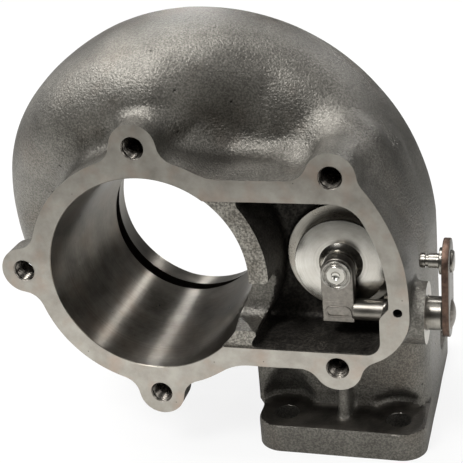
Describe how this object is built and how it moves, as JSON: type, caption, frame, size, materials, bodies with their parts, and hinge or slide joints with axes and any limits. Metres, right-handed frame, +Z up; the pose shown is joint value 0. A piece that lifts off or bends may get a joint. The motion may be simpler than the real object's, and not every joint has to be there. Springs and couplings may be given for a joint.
{
  "type": "turbine housing",
  "caption": "Cast iron turbine housing with a rectangular inlet flange, a gas scroll, a machined outlet face and an internal wastegate worked by an outside crank.",
  "frame": {"origin": "on the turbine axis, in the plane of the machined outlet face", "axes": "+X to the right over the wastegate, +Y from the outlet face into the housing along the turbine axis, +Z up, away from the inlet face"},
  "size_m": [0.2111, 0.118, 0.186],
  "materials": {
    "cast_iron": "sand cast skin with milled and turned faces",
    "bushing_steel": "turned",
    "dark_steel": "dark, oxidised",
    "arm_steel": "satin, investment cast",
    "valve_steel": "turned and polished",
    "washer_steel": "stamped",
    "lever_steel": "heat tinted, brown edges",
    "pin_steel": "bright, turned",
    "weld_metal": "weld, heat tinted"
  },
  "bodies": {
    "housing": {"turbine_housing": "cast_iron", "shaft_bushing": "bushing_steel", "bushing_lock_pin": "dark_steel"},
    "swing_arm": {"valve_arm": "arm_steel", "crank_lever": "lever_steel", "crank_pin": "pin_steel", "crank_weld": "weld_metal"},
    "valve": {"flapper_valve": "valve_steel", "valve_washer": "washer_steel"}
  },
  "joints": [
    {"name": "wastegate_swing", "type": "hinge", "parent": "housing", "child": "swing_arm", "pos_m": [0.0778, 0.015, -0.0188], "axis": [1, 0, 0], "range_deg": [0, 50]},
    {"name": "valve_spin", "type": "hinge", "parent": "swing_arm", "child": "valve", "pos_m": [0.0778, 0.022, -0.0014], "axis": [0, 1, 0], "continuous": true}
  ]
}
